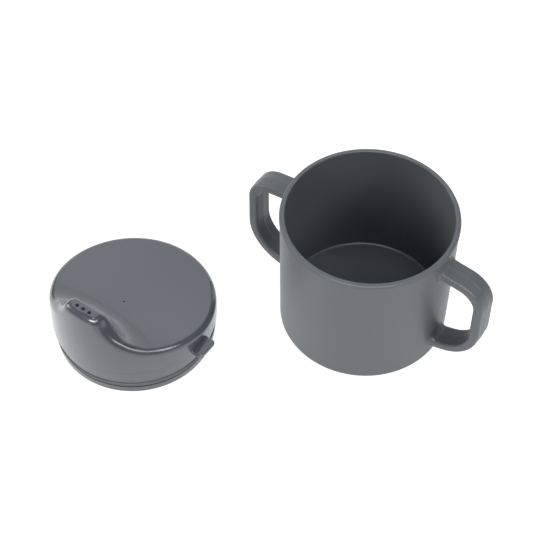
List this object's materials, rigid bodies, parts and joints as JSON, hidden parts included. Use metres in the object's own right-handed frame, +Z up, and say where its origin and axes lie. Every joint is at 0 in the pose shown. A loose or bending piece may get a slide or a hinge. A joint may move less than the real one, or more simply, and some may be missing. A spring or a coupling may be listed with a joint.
{
  "type": "drinking cup",
  "caption": "Toddler training cup with loop handles and a press-in spouted lid lying beside it, with drinking holes, an air hole, a lift tab and a soft seal.",
  "frame": {"origin": "centre of the cup's base, on the surface it stands on", "axes": "+Z up along the cup's axis, +X through the right-hand handle, -Y the side that the lid's spout faces"},
  "size_m": [0.182, 0.1466, 0.0685],
  "materials": {
    "cup_plastic": "fine matt anthracite, moulded",
    "lid_plastic": "satin anthracite, moulded, slightly glossier on the edges",
    "seal_silicone": "soft matt silicone in the lid's colour"
  },
  "bodies": {
    "cup": {"cup_body": "cup_plastic", "left_handle": "cup_plastic", "right_handle": "cup_plastic"},
    "lid": {"lid_shell": "lid_plastic", "lid_seal": "seal_silicone"}
  },
  "joints": [
    {"name": "lid_lift", "type": "slide", "parent": "cup", "child": "lid", "axis": [0, 0, 1], "range_m": [0, 0.09]}
  ]
}
